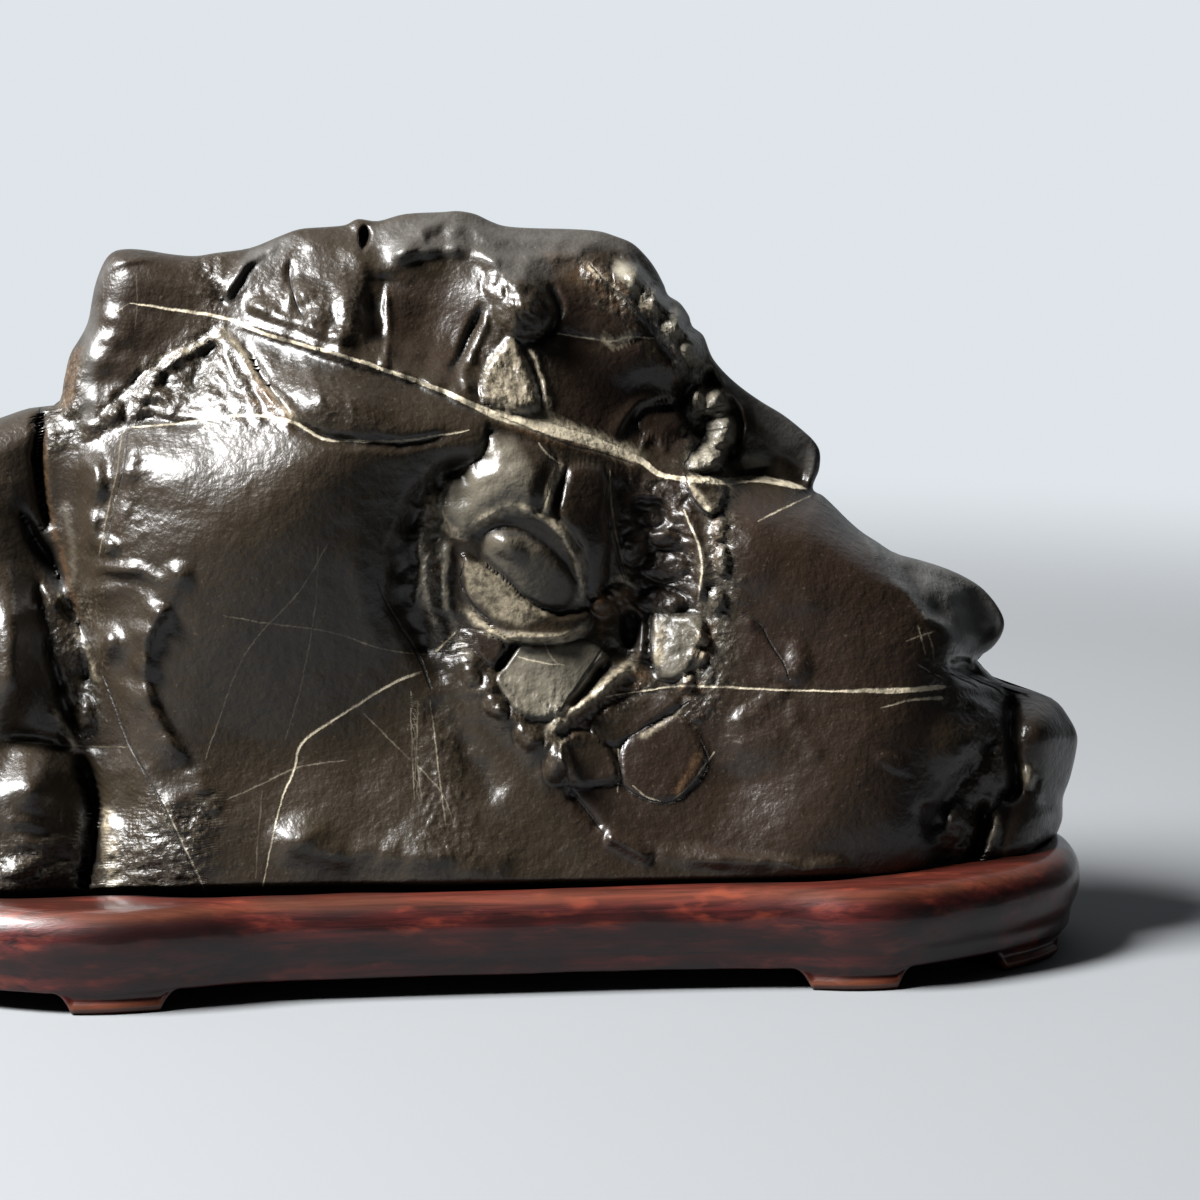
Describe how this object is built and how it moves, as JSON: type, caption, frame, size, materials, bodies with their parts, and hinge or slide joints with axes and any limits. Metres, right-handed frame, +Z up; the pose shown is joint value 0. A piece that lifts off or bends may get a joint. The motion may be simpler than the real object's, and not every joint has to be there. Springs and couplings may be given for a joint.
{
  "type": "scholars rock on stand",
  "caption": "Dark polished scholars rock, wide and ridged with light veins, resting in the recess of a low carved hardwood stand with short flared feet.",
  "frame": {"origin": "on the floor plane under the middle of the object", "axes": "+X along the length of the stand, -Y towards the viewer, +Z up"},
  "size_m": [0.3696, 0.162, 0.221],
  "materials": {
    "rock": "polished dark olive-brown stone with cream veins",
    "stand": "red-brown lacquered hardwood"
  },
  "bodies": {
    "root": {"rock": "rock", "stand": "stand"}
  },
  "joints": []
}
